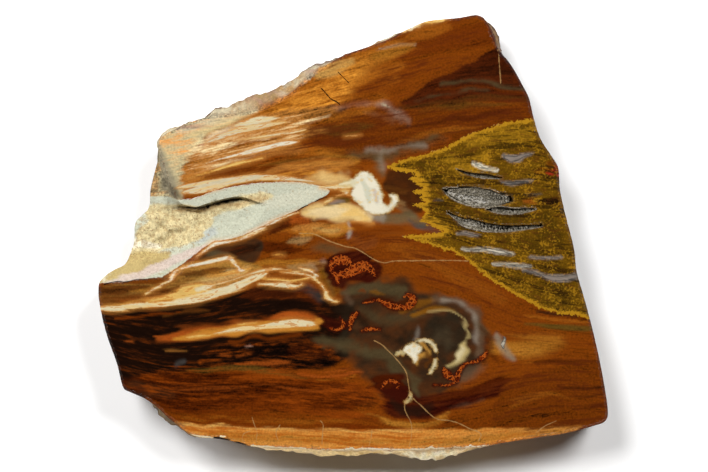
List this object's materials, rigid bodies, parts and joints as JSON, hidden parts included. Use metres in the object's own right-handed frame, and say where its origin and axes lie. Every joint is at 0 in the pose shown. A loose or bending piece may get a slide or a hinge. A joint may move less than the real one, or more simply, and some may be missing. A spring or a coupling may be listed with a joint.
{
  "type": "petrified wood slice",
  "caption": "Thick slice of petrified log, lying flat: one polished face, a rough broken rim, a sandy natural hollow at one side and narrow slits lined with small quartz crystals.",
  "frame": {"origin": "centre of the slice's box, on its sawn back, which is the face that it rests on", "axes": "+X along the slice's longest side, from the hollow towards the long right edge; +Y across the face towards the narrow end of the outline; +Z through the thickness, out of the polished face"},
  "size_m": [0.1529, 0.134, 0.024],
  "materials": {
    "petrified_wood": "agatised wood in rust, honey, mustard, cream and dark maroon, polished glossy on the face, matte and fibrous on the broken sides, sandy in the hollow, with a sawn matte back",
    "quartz_crust": "clear to milky drusy quartz points, glassy"
  },
  "bodies": {
    "root": {"petrified_wood_slice": "petrified_wood", "quartz_crust_wide_slit": "quartz_crust", "quartz_crust_short_slit": "quartz_crust", "quartz_crust_long_slit": "quartz_crust"}
  },
  "joints": []
}
